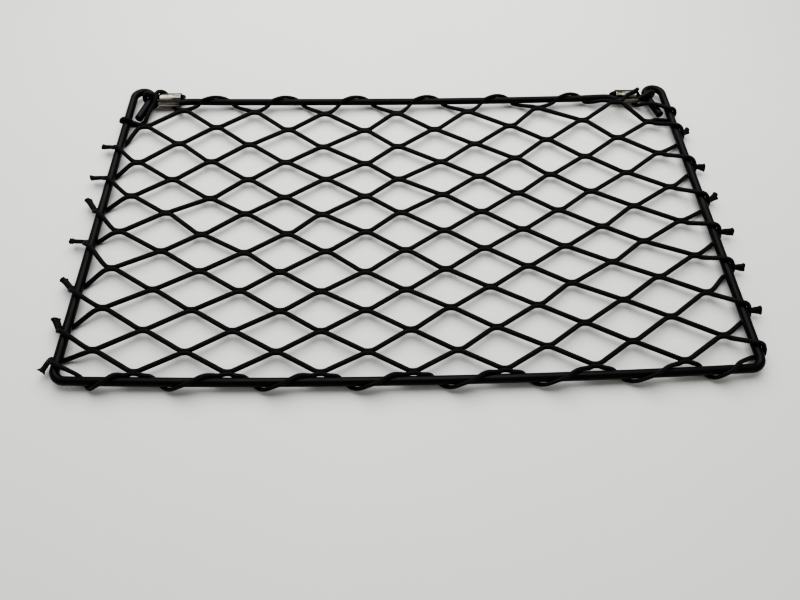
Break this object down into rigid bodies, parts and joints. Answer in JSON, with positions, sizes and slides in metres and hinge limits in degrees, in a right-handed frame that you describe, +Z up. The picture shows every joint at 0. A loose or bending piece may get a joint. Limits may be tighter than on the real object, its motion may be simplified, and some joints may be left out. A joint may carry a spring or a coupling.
{
  "type": "framed storage net: net, elastic edge and bent rod frame",
  "caption": "Flat rectangular storage net of knotless netting stretched on a bent round-rod frame, open at the top, where an elastic cord crimped with metal ferrules holds its edge.",
  "frame": {"origin": "middle of the outer box in plan, at the height of the surface the net lies on", "axes": "+X along the bottom bar to the right, +Y from the bottom bar to the elastic edge, +Z up through the netting"},
  "size_m": [0.4797, 0.2836, 0.0162],
  "materials": {
    "black_rod": "satin black powder coat on steel rod",
    "net_cord": "matt braided synthetic cord",
    "elastic_cord": "fine woven sleeve over rubber",
    "ferrule_metal": "bright zinc-plated sheet, slightly yellow, scuffed"
  },
  "bodies": {
    "root": {"frame_rod": "black_rod", "net": "net_cord", "edge_cord": "elastic_cord", "ferrule_left": "ferrule_metal", "ferrule_right": "ferrule_metal"}
  },
  "joints": []
}
